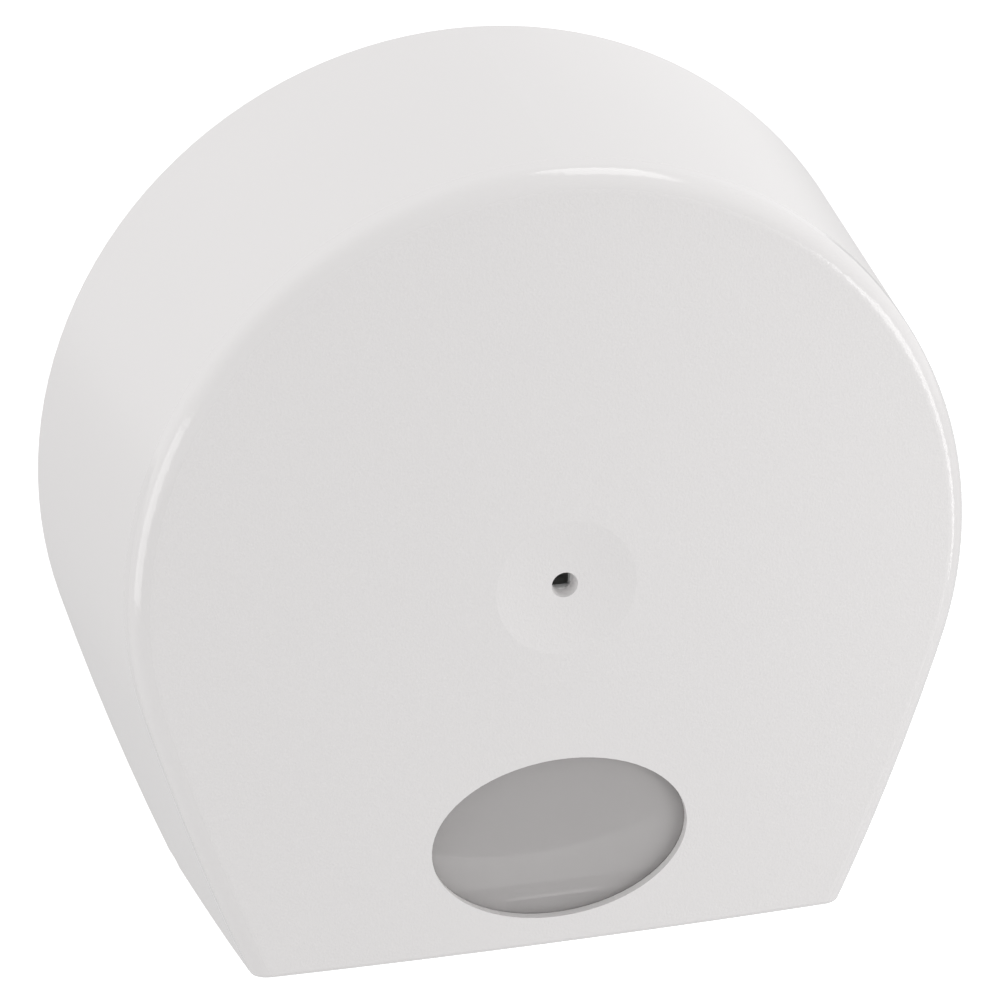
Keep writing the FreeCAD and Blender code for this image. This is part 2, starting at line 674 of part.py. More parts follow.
# The feed nozzle: a flange in the collar with a square throat, and a funnel that gathers the paper.
nozzle_body = doc.addObject("PartDesign::Body", "nozzle_body")
nozzle_profile = loop(sketch_on(nozzle_body, "nozzle_profile", "XY_Plane", "nozzle_rise"),
                      [("0", "-pad_rear + nozzle_gap"),
                       ("collar_bore - nozzle_fit", "-pad_rear + nozzle_gap"),
                       ("collar_bore - nozzle_fit", "-pad_rear + nozzle_gap + nozzle_flange"),
                       ("funnel_neck + funnel_wall", "-pad_rear + nozzle_gap + nozzle_flange"),
                       ("funnel_mouth + funnel_wall", "-funnel_rear"),
                       ("funnel_mouth", "-funnel_rear"),
                       ("funnel_neck", "-pad_rear + nozzle_gap + nozzle_flange"),
                       ("0", "-pad_rear + nozzle_gap + nozzle_flange")])
turned(nozzle_body, "Revolution", "nozzle_turned", nozzle_profile)
nozzle = cut("feed_nozzle", nozzle_body,
             box("nozzle_throat", "throat_side", "nozzle_flange + 2 * nozzle_gap", "throat_side",
                 "-throat_side / 2", "-pad_rear", "nozzle_rise - throat_side / 2"))
ring_blank = ring("ring_blank", "collar_bore - nozzle_fit", "ring_bore", "ring_thick", "0",
                  "-(ring_front - ring_thick)", "nozzle_rise", "front")
nozzle_ring = cut("nozzle_ring", ring_blank,
                  box("ring_slot", "2 * collar_bore", "ring_thick / 2", "ring_slot", "-collar_bore",
                      "-(ring_front - ring_thick / 2)", "nozzle_rise - ring_slot / 2"))

# The back plate: a flat ABS moulding with a rib round its top, stiffeners, hinge lugs, a sill and bosses.
plate_body = doc.addObject("PartDesign::Body", "plate_body")
padded(plate_body, "plate_sheet", outline_sketch(plate_body, "plate"), "plate_thick")
rib = loop(sketch_on(plate_body, "rib_profile", "XZ_Plane", "plate_thick"),
           [("0", "plate_round"), ("-plate_shoulder_x", "-plate_shoulder_z"),
            ("-rib_shoulder_x", "-rib_shoulder_z"), ("0", "rib_round"), ("rib_shoulder_x", "-rib_shoulder_z"),
            ("plate_shoulder_x", "-plate_shoulder_z")],
           {0: ("plate_round", True), 2: ("rib_round", False), 3: ("rib_round", False),
            5: ("plate_round", True)})
padded(plate_body, "plate_rib", rib, "plate_rib_height")
wall_places = [(f"{x}wall_hole_out", f"{z}wall_hole_out") for x in ("", "-") for z in ("", "-")]
wall_bosses = [rod(f"wall_boss_{number}", "wall_boss_radius", "plate_thick + wall_boss_height", x, "0", z,
                   "front") for number, (x, z) in enumerate(wall_places)]
wall_holes = [rod(f"wall_hole_{number}", "wall_hole_radius", "plate_thick + wall_boss_height", x, "0", z,
                  "front") for number, (x, z) in enumerate(wall_places)]


def lug(name, left):
    """A hinge lug that reaches from the plate to the pin."""
    end = rod(name + "_end", "knuckle_radius", "lug_thick", left, "-hinge_reach", "-hinge_drop", "right")
    root = box(name + "_root", "lug_thick", "hinge_reach", "2 * knuckle_radius", left, "-hinge_reach",
               "-(hinge_drop + knuckle_radius)")
    bore = rod(name + "_bore", "pin_radius + pin_fit", "lug_thick", left, "-hinge_reach", "-hinge_drop",
               "right")
    return cut(name, fuse(name + "_blank", end, root), bore)


outer_lug_left = f"{knuckle_left} + knuckle_length + hinge_gap"
inner_lug_left = f"{knuckle_left} - hinge_gap - lug_thick"
lugs = [lug("outer_lug", outer_lug_left), lug("inner_lug", inner_lug_left)]
lugs += [mirrored("outer_lug_left", lugs[0]), mirrored("inner_lug_left", lugs[1])]
sill = box("sill", "2 * sill_half_width", "plate_thick + sill_height", "sill_thick", "-sill_half_width",
           "-(plate_thick + sill_height)", "-bottom_drop")
stiffening_ring = ring("stiffening_ring", "stiffener_ring + stiffener_wall", "stiffener_ring",
                       "plate_thick + stiffener_height", "0", "0", "nozzle_rise", "front")
stiffener_length = "stiffener_reach - stiffener_ring - root"
stiffener_across = box("stiffener_across", stiffener_length, "plate_thick + stiffener_height",
                       "stiffener_wall", "stiffener_ring + root", "-(plate_thick + stiffener_height)",
                       "nozzle_rise - stiffener_wall / 2")
stiffeners = [stiffener_across, mirrored("stiffener_left", stiffener_across)]
stiffeners += [box(name, "stiffener_wall", "plate_thick + stiffener_height", stiffener_length,
                   "-stiffener_wall / 2", "-(plate_thick + stiffener_height)", z)
               for name, z in (("stiffener_high", "nozzle_rise + stiffener_ring + root"),
                               ("stiffener_low", "nozzle_rise - stiffener_reach"))]

# Screw places: x, height and seat depth of each, by what the screws hold.
cradle_places = [(f"{side}cradle_screw_circle * sin({angle})",
                  f"nozzle_rise - cradle_screw_circle * cos({angle})")
                 for side in ("", "-") for angle in ("cradle_screw_inner_angle", "cradle_screw_outer_angle")]
keeper_places = [("keeper_base_left + keeper_base_width / 2", "keeper_arm + keeper_screw_first"),
                 ("keeper_base_left + keeper_base_width / 2",
                  "keeper_arm + keeper_screw_first + keeper_screw_step")]
catch_places = [(f"{side}catch_screw_across", "low_finger_low - catch_screw_drop") for side in ("", "-")]


def screw_holes(name, places):
    return [rod(f"{name}_hole_{number}", "screw_radius + screw_fit", "plate_thick + cradle_flange", x, "0", z,
                "front") for number, (x, z) in enumerate(places)]


plate_blank = fuse("plate_blank", plate_body, *wall_bosses, *lugs, sill, stiffening_ring, *stiffeners)
plate = cut("back_plate", plate_blank, *wall_holes, *screw_holes("cradle", cradle_places),
            *screw_holes("keeper", keeper_places), *screw_holes("catch", catch_places))

# The roll's cradle: a trough with a flange at the plate, an apron at the front and two webs underneath.
cradle_body = doc.addObject("PartDesign::Body", "cradle_body")


def cradle_sketch(name, away, corners, arcs):
    return loop(sketch_on(cradle_body, name, "XZ_Plane", away, "nozzle_rise"), corners, arcs)


trough = cradle_sketch("trough_profile", "plate_thick",
                       [("-cradle_out_x", "-cradle_out_z"), ("cradle_out_x", "-cradle_out_z"),
                        ("cradle_in_x", "-cradle_in_z"), ("-cradle_in_x", "-cradle_in_z")],
                       {0: ("cradle_outer", True), 2: ("cradle_radius", False)})
padded(cradle_body, "trough", trough, "cradle_length")
flange = cradle_sketch("flange_profile", "plate_thick",
                       [("-cradle_edge_x", "-cradle_edge_z"), ("cradle_edge_x", "-cradle_edge_z"),
                        ("cradle_in_x", "-cradle_in_z"), ("-cradle_in_x", "-cradle_in_z")],
                       {0: ("cradle_edge", True), 2: ("cradle_radius", False)})
padded(cradle_body, "flange", flange, "cradle_flange")
apron = cradle_sketch("apron_profile", "cradle_reach - apron_thick",
                      [("-apron_half_width", "-apron_foot"), ("apron_half_width", "-apron_foot"),
                       ("apron_half_width", "-apron_shoulder"), ("-apron_half_width", "-apron_shoulder")],
                      {2: ("cradle_middle", False)})
padded(cradle_body, "apron", apron, "apron_thick")
web = box("cradle_web", "web_thick", "cradle_reach - plate_thick", "apron_foot - web_top",
          "web_across - web_thick / 2", "-cradle_reach", "-apron_drop")
cradle = cut("roll_cradle", fuse("cradle_blank", cradle_body, web, mirrored("cradle_web_left", web)),
             *screw_holes("flange", cradle_places))
cradle_screws = group("cradle_screws", *[pan_screw(f"cradle_screw_{number}", x, z, "cradle_seat")
                                         for number, (x, z) in enumerate(cradle_places)])

# The hinge: steel pins fixed in the plate's lugs, clips on their ends and nylon bushes in the knuckles.
pin_left = f"{inner_lug_left} - pin_clip_gap - pin_tail"
head_left = f"{outer_lug_left} + lug_thick"
pin = fuse("hinge_pin_right",
           rod("pin_shank", "pin_radius", f"{head_left} - ({pin_left})", pin_left, "-hinge_reach",
               "-hinge_drop", "right"),
           rod("pin_head", "pin_head_radius", "pin_head_thick", head_left, "-hinge_reach", "-hinge_drop",
               "right"))
pin_clip = ring("pin_clip", "pin_clip_radius", "pin_radius + clip_fit", "pin_clip_thick",
                f"{inner_lug_left} - pin_clip_gap - pin_clip_thick", "-hinge_reach", "-hinge_drop", "right")
pin_clips = group("pin_clips", pin_clip, mirrored("pin_clip_left", pin_clip))


def bush(name, sleeve_left, flange_left):
    """A flanged sleeve for the pin to turn in."""
    sleeve = ring(name + "_sleeve", "pin_radius + pin_fit + bush_wall", "pin_radius + pin_fit", "bush_length",
                  sleeve_left, "-hinge_reach", "-hinge_drop", "right")
    flange = ring(name + "_flange", "bush_flange_radius", "pin_radius + pin_fit", "bush_flange", flange_left,
                  "-hinge_reach", "-hinge_drop", "right")
    return fuse(name, sleeve, flange)


bushes = [bush("inner_bush", knuckle_left, f"{knuckle_left} - bush_flange"),
          bush("outer_bush", f"{knuckle_left} + knuckle_length - bush_length",
               f"{knuckle_left} + knuckle_length")]
hinge_bushes = group("hinge_bushes", *bushes, mirrored("inner_bush_left", bushes[0]),
                     mirrored("outer_bush_left", bushes[1]))

# The lock: a flanged body and nut in the cover's right wall, and a plug that turns the cam inside.
lock_body = cut("lock_body",
                fuse("lock_blank",
                     rod("lock_barrel", "barrel_radius", "barrel_length", "barrel_rear", "-lock_reach", "0",
                         "right"),
                     rod("lock_flange", "lock_flange_radius", "lock_flange_thick", "lock_seat", "-lock_reach",
                         "0", "right")),
                rod("plug_bore", "plug_radius + plug_fit", "barrel_length + lock_flange_thick", "barrel_rear",
                    "-lock_reach", "0", "right"),
                rod("plug_seat", "plug_head_radius + plug_head_fit",
                    "plug_head_thick + plug_sink + plug_head_fit",
                    "plug_face - plug_head_thick - plug_head_fit", "-lock_reach", "0", "right"))
nut_blank = bind(doc.addObject("Part::Prism", "nut_blank"), Circumradius="nut_radius", Height="nut_thick")
put(nut_blank, "boss_rear - nut_gap - nut_thick", "-lock_reach", "0", TURNS["right"])
lock_nut = cut("lock_nut", nut_blank,
               rod("nut_bore", "barrel_radius + barrel_fit", "nut_thick", "boss_rear - nut_gap - nut_thick",
                   "-lock_reach", "0", "right"))
lock_plug = cut("lock_plug",
                fuse("plug_blank",
                     rod("plug_stem", "plug_radius", "plug_face - cam_face", "cam_face", "-lock_reach", "0",
                         "right"),
                     rod("plug_head", "plug_head_radius", "plug_head_thick", "plug_face - plug_head_thick",
                         "-lock_reach", "0", "right"),
                     box("plug_tail", "cam_thick - tail_short + root", "tail_side", "tail_side",
                         "cam_rear + tail_short", "-(lock_reach + tail_side / 2)", "-tail_side / 2")),
                box("key_slot", "key_slot_depth", "key_slot_length", "key_slot_width",
                    "plug_face - key_slot_depth", "-(lock_reach + key_slot_length / 2)",
                    "-key_slot_width / 2"),
                rod("cam_screw_bore", "screw_radius + screw_fit", "cam_screw_depth + root", "cam_rear",
                    "-lock_reach", "0", "right"))
tongue = box("cam_tongue", "cam_thick", "cam_length - cam_width / 2", "cam_width", "cam_rear", "-lock_reach",
             "-cam_width / 2")
lock_cam = cut("lock_cam",
               fuse("cam_blank", tongue,
                    rod("cam_hub", "cam_hub_radius", "cam_thick", "cam_rear", "-lock_reach", "0", "right"),
                    rod("cam_tip", "cam_width / 2", "cam_thick", "cam_rear",
                        "-(lock_reach - cam_length + cam_width / 2)", "0", "right")),
               box("cam_square", "cam_thick", "tail_side + 2 * tail_fit", "tail_side + 2 * tail_fit",
                   "cam_rear", "-(lock_reach + tail_side / 2 + tail_fit)", "-(tail_side / 2 + tail_fit)"))
cam_washer = ring("cam_washer", "washer_radius", "screw_radius + screw_fit", "washer_thick", "washer_rear",
                  "-lock_reach", "0", "right")
cam_screw = cut("cam_screw",
                fuse("cam_screw_blank",
                     rod("cam_screw_head", "head_radius", "head_height", "washer_rear - head_height",
                         "-lock_reach", "0", "right"),
                     rod("cam_screw_shank", "screw_radius", "washer_thick + cam_screw_depth", "washer_rear",
                         "-lock_reach", "0", "right")),
                box("cam_recess_across", "recess_depth", "recess_length", "recess_width",
                    "washer_rear - head_height", "-(lock_reach + recess_length / 2)", "-recess_width / 2"),
                box("cam_recess_upright", "recess_depth", "recess_width", "recess_length",
                    "washer_rear - head_height", "-(lock_reach + recess_width / 2)", "-recess_length / 2"))

# The keeper: a steel strip bent into a base, an arm over the cam's path and a lip in front of it.
keeper_body = doc.addObject("PartDesign::Body", "keeper_body")
hook = loop(sketch_on(keeper_body, "hook_profile", "YZ_Plane", "keeper_left"),
            [("-plate_thick", "keeper_top"), ("-keeper_seat", "keeper_top"),
             ("-keeper_seat", "keeper_arm + keeper_thick"), ("-keeper_front", "keeper_arm + keeper_thick"),
             ("-keeper_front", "keeper_tip"), ("-keeper_rear", "keeper_tip"), ("-keeper_rear", "keeper_arm"),
             ("-plate_thick", "keeper_arm")])
padded(keeper_body, "hook", hook, "keeper_width")
keeper_base = box("keeper_base_plate", "keeper_base_width", "keeper_thick", "keeper_base", "keeper_base_left",
                  "-keeper_seat", "keeper_arm")
keeper = cut("lock_keeper", fuse("keeper_blank", keeper_body, keeper_base),
             *screw_holes("base", keeper_places))
keeper_screws = group("keeper_screws", *[pan_screw(f"keeper_screw_{number}", x, z, "keeper_seat")
                                         for number, (x, z) in enumerate(keeper_places)])

# The catch: a nylon clip whose two fingers grip the cover's blade.
catch_body = doc.addObject("PartDesign::Body", "catch_body")
fork = loop(sketch_on(catch_body, "fork_profile", "YZ_Plane", "-catch_half_width"),
            [("-plate_thick", "catch_low"), ("-plate_thick", "high_finger_high"),
             ("-finger_reach", "high_finger_high"), ("-finger_reach", "high_finger_low"),
             ("-catch_seat", "high_finger_low"), ("-catch_seat", "low_finger_high"),
             ("-finger_reach", "low_finger_high"), ("-finger_reach", "low_finger_low"),
             ("-catch_seat", "low_finger_low"), ("-catch_seat", "catch_low")])
padded(catch_body, "fork", fork, "2 * catch_half_width")
catch = cut("catch_clip", catch_body, *screw_holes("clip", catch_places))
catch_screws = group("catch_screws", *[pan_screw(f"catch_screw_{number}", x, z, "catch_seat")
                                       for number, (x, z) in enumerate(catch_places)])

parts = [plate, cradle, cradle_screws, keeper, keeper_screws, catch, catch_screws, pin,
         mirrored("hinge_pin_left", pin), pin_clips, cover, lens, window_clips, nozzle, nozzle_ring,
         hinge_bushes, lock_body, lock_nut, lock_plug, lock_cam, cam_washer, cam_screw]
doc.recompute()
for thing in doc.Objects:
    if {"Invalid", "Error"} & set(thing.State):
        raise RuntimeError(f"{thing.Name} is {thing.State}")
for part in parts:
    if part.Shape.isNull() or not part.Shape.isValid() or not part.Shape.Solids:
        raise RuntimeError(f"{part.Label} has no sound solid")
os.makedirs("parts", exist_ok=True)
for part in parts:
    part.Shape.exportStep(f"parts/{part.Label}.step")
    box_size = part.Shape.BoundBox
    print(f"{part.Label}: {len(part.Shape.Solids)} solids, {part.Shape.Volume:.0f} mm3, "
          f"{box_size.XLength:.1f} x {box_size.YLength:.1f} x {box_size.ZLength:.1f}")
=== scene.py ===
import math

import bpy
from mathutils import Matrix, Vector


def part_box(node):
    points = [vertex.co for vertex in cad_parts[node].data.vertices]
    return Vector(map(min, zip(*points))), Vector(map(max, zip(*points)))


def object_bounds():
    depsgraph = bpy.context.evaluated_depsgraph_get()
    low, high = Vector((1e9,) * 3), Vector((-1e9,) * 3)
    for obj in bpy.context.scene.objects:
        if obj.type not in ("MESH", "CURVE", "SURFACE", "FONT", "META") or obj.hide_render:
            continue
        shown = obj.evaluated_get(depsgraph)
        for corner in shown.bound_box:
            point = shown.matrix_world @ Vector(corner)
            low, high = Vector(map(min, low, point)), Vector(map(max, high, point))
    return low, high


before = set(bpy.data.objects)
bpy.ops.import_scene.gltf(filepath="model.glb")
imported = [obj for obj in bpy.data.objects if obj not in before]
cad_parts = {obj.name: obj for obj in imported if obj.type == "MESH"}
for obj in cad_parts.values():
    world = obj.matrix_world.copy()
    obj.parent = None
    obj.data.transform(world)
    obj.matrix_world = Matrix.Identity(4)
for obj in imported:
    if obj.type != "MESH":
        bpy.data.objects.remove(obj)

cad_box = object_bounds()

# The back plate is a flat moulding in pale ABS that is screwed to the wall. It comes from a spark-eroded
# mould, so its face is satin, and the ejector pins have left rows of faint round marks on it.


class Socket:
    """An output of a shader node. Arithmetic on sockets adds Math nodes, and node() adds any other."""

    def __init__(self, tree, output=None):
        self.tree = tree
        self.output = output

    def node(self, kind, settings=None, inputs=None, output=0):
        """A new node: its settings are set first, then its inputs, from values or from sockets."""
        made = self.tree.nodes.new("ShaderNode" + kind)
        for name, value in (settings or {}).items():
            setattr(made, name, value)
        for name, value in (inputs or {}).items():
            if isinstance(value, Socket):
                self.tree.links.new(value.output, made.inputs[name])
            else:
                made.inputs[name].default_value = value
        return Socket(self.tree, made.outputs[output])

    def maths(self, operation, first, second):
        """A Math node on two values, of which one at least is a socket."""
        return self.node("Math", {"operation": operation}, {0: first, 1: second})

    def __add__(self, other):
        return self.maths("ADD", self, other)

    def __radd__(self, other):
        return self.maths("ADD", other, self)

    def __sub__(self, other):
        return self.maths("SUBTRACT", self, other)

    def __rsub__(self, other):
        return self.maths("SUBTRACT", other, self)

    def __mul__(self, other):
        return self.maths("MULTIPLY", self, other)

    def __rmul__(self, other):
        return self.maths("MULTIPLY", other, self)

    def between(self, low, high):
        """0 below low, 1 above high and a smooth step from one to the other."""
        return self.node("MapRange", {"interpolation_type": "SMOOTHSTEP"},
                         {"Value": self, "From Min": low, "From Max": high})

    def noise(self, scale, detail=2.0):
        """Noise around a half, with lumps of about 1 / scale metres, at these coordinates."""
        return self.node("TexNoise", None, {"Vector": self, "Scale": scale, "Detail": detail})

    def part(self, axis):
        """One coordinate of a vector: 0 for x, 1 for y and 2 for z."""
        return self.node("SeparateXYZ", None, {"Vector": self}, axis)

    def tint(self, dark, light):
        """A colour from dark to light as this value goes from 0 to 1."""
        return self.node("Mix", {"data_type": "RGBA"}, {0: self, 6: (*dark, 1), 7: (*light, 1)}, 2)


def start_material(name):
    """A new material, its Principled shader, and the piece's own coordinates in metres."""
    material = bpy.data.materials.new(name)
    material.use_nodes = True
    shader = material.node_tree.nodes["Principled BSDF"]
    base = Socket(material.node_tree)
    return material, shader, base.node("TexCoord", output=3)


def feed(shader, **sockets):
    """Links sockets to the shader's inputs, or sets plain values on them."""
    for name, value in sockets.items():
        target = shader.inputs[name.replace("_", " ").title()]
        if isinstance(value, Socket):
            value.tree.links.new(value.output, target)
        else:
            target.default_value = value


def bumped(height, distance):
    """The normal over a height field whose full range is distance metres."""
    return height.node("Bump", None, {"Height": height, "Distance": distance, "Strength": 1.0})


def paint(material, *names):
    """Puts the material in the slot of each of these CAD pieces."""
    for name in names:
        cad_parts[name].material_slots[0].material = material


EJECTOR_PITCH = 0.044
EJECTOR_MARK = 0.0042
EJECTOR_EDGE = 0.0003
PLATE_DARK = (0.60, 0.60, 0.595)
PLATE_LIGHT = (0.66, 0.66, 0.655)
PLATE_GRAIN_SCALE = 1500.0
PLATE_GRAIN_SHARE = 0.4
PLATE_FLOW_SCALE = 14.0
PLATE_ROUGH = 0.42
PLATE_ROUGH_SPREAD = 0.1
PLATE_RELIEF = 0.00008

plate_plastic, plate_shader, plate_place = start_material("satin_plate_plastic")
plate_grain = plate_place.noise(PLATE_GRAIN_SCALE)
plate_flow = plate_place.noise(PLATE_FLOW_SCALE)
ejector_cell = plate_place.node("VectorMath", {"operation": "WRAP"},
                                {0: plate_place, 1: (EJECTOR_PITCH / 2,) * 3, 2: (-EJECTOR_PITCH / 2,) * 3})
ejector_flat = ejector_cell.node("VectorMath", {"operation": "MULTIPLY"}, {0: ejector_cell, 1: (1, 0, 1)})
ejector_distance = ejector_flat.node("VectorMath", {"operation": "LENGTH"}, {0: ejector_flat}, 1)
ejector_mark = ejector_distance.between(EJECTOR_MARK - EJECTOR_EDGE, EJECTOR_MARK)
feed(plate_shader, base_color=plate_flow.tint(PLATE_DARK, PLATE_LIGHT),
     roughness=PLATE_ROUGH + PLATE_ROUGH_SPREAD * plate_grain,
     normal=bumped(PLATE_GRAIN_SHARE * plate_grain + ejector_mark, PLATE_RELIEF))
paint(plate_plastic, "back_plate")

# The cradle that the roll lies in is an ABS moulding that is screwed to the plate through its flange. Its
# trough is a little polished where the paper rubs. Its colour holds painted shade, a darker grey in the
# trough, and painted light, a paler colour on the apron at its front.
cradle_low, cradle_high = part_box("roll_cradle")
APRON_THICK = 0.0025
# Painted shade for the trough and painted light for the apron, not two colours of the plastic.
TROUGH_PAINTED_SHADE = (0.47, 0.46, 0.455)
APRON_PAINTED_LIGHT = (0.87, 0.875, 0.865)
CRADLE_GRAIN_SCALE = 1300.0
CRADLE_FLOW_SCALE = 18.0
CRADLE_FLOW_SHARE = 0.08
CRADLE_ROUGH = 0.5
CRADLE_ROUGH_SPREAD = 0.08
CRADLE_POLISH = 0.16
CRADLE_RELIEF = 0.00003

cradle_plastic, cradle_shader, cradle_place = start_material("cradle_plastic")
cradle_grain = cradle_place.noise(CRADLE_GRAIN_SCALE)
cradle_flow = cradle_place.noise(CRADLE_FLOW_SCALE)
rubbed = cradle_place.part(2).between(cradle_high.z, cradle_low.z)
# Where painted light brightens the apron at the cradle's front, against the painted shade of the trough;
# the flow noise is the plastic's own uneven tone.
apron_painted_light = cradle_place.part(1).between(cradle_low.y + APRON_THICK, cradle_low.y)
cradle_painted_light_and_flow = apron_painted_light - CRADLE_FLOW_SHARE * cradle_flow
feed(cradle_shader, base_color=cradle_painted_light_and_flow.tint(TROUGH_PAINTED_SHADE, APRON_PAINTED_LIGHT),
     roughness=CRADLE_ROUGH - CRADLE_POLISH * rubbed + CRADLE_ROUGH_SPREAD * cradle_grain,
     normal=bumped(cradle_grain, CRADLE_RELIEF))
paint(cradle_plastic, "roll_cradle")

# The screws, the lock's keeper, its cam and washer are steel with a thin zinc plating, which is a little
# cloudy and has faint blue and yellow patches from its passivation.
ZINC_BLUE = (0.56, 0.60, 0.66)
ZINC_YELLOW = (0.66, 0.65, 0.60)
ZINC_CLOUD_SCALE = 160.0
ZINC_CLOUD_DETAIL = 4.0
ZINC_SCRATCH_SCALE = 2600.0
ZINC_ROUGH = 0.26
ZINC_ROUGH_SPREAD = 0.18
ZINC_RELIEF = 0.00001

zinc, zinc_shader, zinc_place = start_material("zinc_plated_steel")
zinc_cloud = zinc_place.noise(ZINC_CLOUD_SCALE, ZINC_CLOUD_DETAIL)
zinc_scratch = zinc_place.noise(ZINC_SCRATCH_SCALE)
feed(zinc_shader, base_color=zinc_cloud.tint(ZINC_BLUE, ZINC_YELLOW), metallic=1.0,
     roughness=ZINC_ROUGH + ZINC_ROUGH_SPREAD * zinc_cloud, normal=bumped(zinc_scratch, ZINC_RELIEF))
paint(zinc, "cradle_screws", "lock_keeper", "keeper_screws", "catch_screws", "lock_cam", "cam_washer",
      "cam_screw")

# The catch at the top and the bushes of the hinge are natural nylon: cream, a little see-through at thin
# edges, with a waxy skin.
NYLON_DARK = (0.66, 0.64, 0.57)
NYLON_LIGHT = (0.73, 0.71, 0.65)
NYLON_CLOUD_SCALE = 120.0
NYLON_SKIN_SCALE = 1800.0
NYLON_ROUGH = 0.36
NYLON_ROUGH_SPREAD = 0.1
NYLON_GLOW = 0.15
NYLON_GLOW_DEPTH = 0.002
NYLON_RELIEF = 0.00002

nylon, nylon_shader, nylon_place = start_material("natural_nylon")
nylon_cloud = nylon_place.noise(NYLON_CLOUD_SCALE)
nylon_skin = nylon_place.noise(NYLON_SKIN_SCALE)
feed(nylon_shader, base_color=nylon_cloud.tint(NYLON_DARK, NYLON_LIGHT),
     roughness=NYLON_ROUGH + NYLON_ROUGH_SPREAD * nylon_skin, subsurface_weight=NYLON_GLOW,
     subsurface_scale=NYLON_GLOW_DEPTH, normal=bumped(nylon_skin, NYLON_RELIEF))
paint(nylon, "catch_clip", "hinge_bushes")

# The hinge pins and the clips on them, and the push-on clips behind the window, are bright ground steel:
# turning lines run round the pins.
STEEL_DARK = (0.52, 0.52, 0.52)
STEEL_LIGHT = (0.64, 0.64, 0.63)
STEEL_CLOUD_SCALE = 300.0
STEEL_CLOUD_DETAIL = 3.0
STEEL_ROUGH = 0.22
STEEL_ROUGH_SPREAD = 0.16
STEEL_RELIEF = 0.00001
TURNING_SCALE = 125.0
TURNING_WANDER = 2.0
TURNING_DETAIL = 3.0

ground_steel, steel_shader, steel_place = start_material("ground_steel")
turning = steel_place.node("TexWave", {"bands_direction": "X"},
                           {"Vector": steel_place, "Scale": TURNING_SCALE, "Distortion": TURNING_WANDER,
                            "Detail": TURNING_DETAIL}, 1)
steel_cloud = steel_place.noise(STEEL_CLOUD_SCALE, STEEL_CLOUD_DETAIL)
feed(steel_shader, base_color=steel_cloud.tint(STEEL_DARK, STEEL_LIGHT), metallic=1.0,
     roughness=STEEL_ROUGH + STEEL_ROUGH_SPREAD * steel_cloud, normal=bumped(turning, STEEL_RELIEF))
paint(ground_steel, "hinge_pin_left", "hinge_pin_right", "pin_clips", "window_clips")

# The cover is the white ABS moulding that everyone sees. Its front is finely grained and its drafted
# walls are smoother, with a glossy rounding between them. The white varies a little, as moulded
# plastic does.
cover_low, cover_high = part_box("front_cover")
FRONT_ROUND = 0.008
FRONT_FALL = 0.0079
DISH_RIM = 0.025
EDGE_START = 0.0001
EDGE_REACH = 0.12
EDGE_REACH_FADE = 1.05
WALL_FADE = 1.6
COVER_DARK = (0.728, 0.712, 0.710)
COVER_LIGHT = (0.772, 0.756, 0.753)
COVER_SHADE = 0.35
COVER_GRAIN_SCALE = 1100.0
COVER_GRAIN_SHARE = 0.7
COVER_GRAIN_LOST = 0.85
COVER_FLOW_SCALE = 9.0
COVER_FLOW_SHARE = 0.3
COVER_DETAIL = 3.0
FRONT_ROUGH = 0.56
FRONT_ROUGH_SPREAD = 0.06
EDGE_GLOSS = 0.48
WALL_DULLNESS = 0.22
COVER_RELIEF = 0.00012

cover_plastic, cover_shader, cover_place = start_material("grained_cover_plastic")
cover_grain = cover_place.noise(COVER_GRAIN_SCALE, COVER_DETAIL)
cover_flow = cover_place.noise(COVER_FLOW_SCALE, COVER_DETAIL)
cover_x, cover_y, cover_z = (cover_place.part(axis) for axis in range(3))
# How far a point lies behind the domed front, whose foremost points are on the rim of the dish.
reach_squared = cover_x * cover_x + cover_z * cover_z
front_fall = (reach_squared - DISH_RIM ** 2) * (FRONT_FALL / cover_high.z ** 2)
below_front = cover_y - cover_low.y - front_fall
past_front = reach_squared.between(EDGE_REACH ** 2, (EDGE_REACH_FADE * EDGE_REACH) ** 2)
off_front = below_front.between(EDGE_START, 2 * EDGE_START) * past_front
on_wall = below_front.between(FRONT_ROUND, WALL_FADE * FRONT_ROUND)
grain_depth = 1 - COVER_GRAIN_LOST * off_front
cover_speckle = COVER_GRAIN_SHARE * (cover_grain - 0.5) * grain_depth
cover_shade = COVER_FLOW_SHARE * cover_flow + cover_speckle + COVER_SHADE
cover_rough = FRONT_ROUGH + FRONT_ROUGH_SPREAD * cover_grain - EDGE_GLOSS * off_front
feed(cover_shader, base_color=cover_shade.tint(COVER_DARK, COVER_LIGHT),
     roughness=cover_rough + WALL_DULLNESS * on_wall,
     normal=bumped(cover_grain * grain_depth, COVER_RELIEF))
paint(cover_plastic, "front_cover")

# The window is a lens of smoked clear plastic, held behind the cover's wall on four posts. It shows the
# cradle behind it as a paler and a darker field.
LENS_DARK = (0.75, 0.725, 0.72)
LENS_LIGHT = (0.78, 0.755, 0.75)
LENS_CLOUD_SCALE = 25.0
LENS_ROUGH = 0.12
LENS_ROUGH_SPREAD = 0.04
LENS_SMOKE = 0.36

lens, lens_shader, lens_place = start_material("smoked_lens")
lens_cloud = lens_place.noise(LENS_CLOUD_SCALE)
feed(lens_shader, base_color=lens_cloud.tint(LENS_DARK, LENS_LIGHT),
     roughness=LENS_ROUGH + LENS_ROUGH_SPREAD * lens_cloud, alpha=LENS_SMOKE)
paint(lens, "inspection_window")

# The nozzle that the paper is pulled through, and the ring that keeps it in the cover, are pale acetal,
# slippery and slightly glossy.
ACETAL_DARK = (0.80, 0.80, 0.80)
ACETAL_LIGHT = (0.86, 0.86, 0.86)
ACETAL_CLOUD_SCALE = 200.0
ACETAL_SKIN_SCALE = 2000.0
ACETAL_ROUGH = 0.3
ACETAL_ROUGH_SPREAD = 0.1
ACETAL_RELIEF = 0.00002

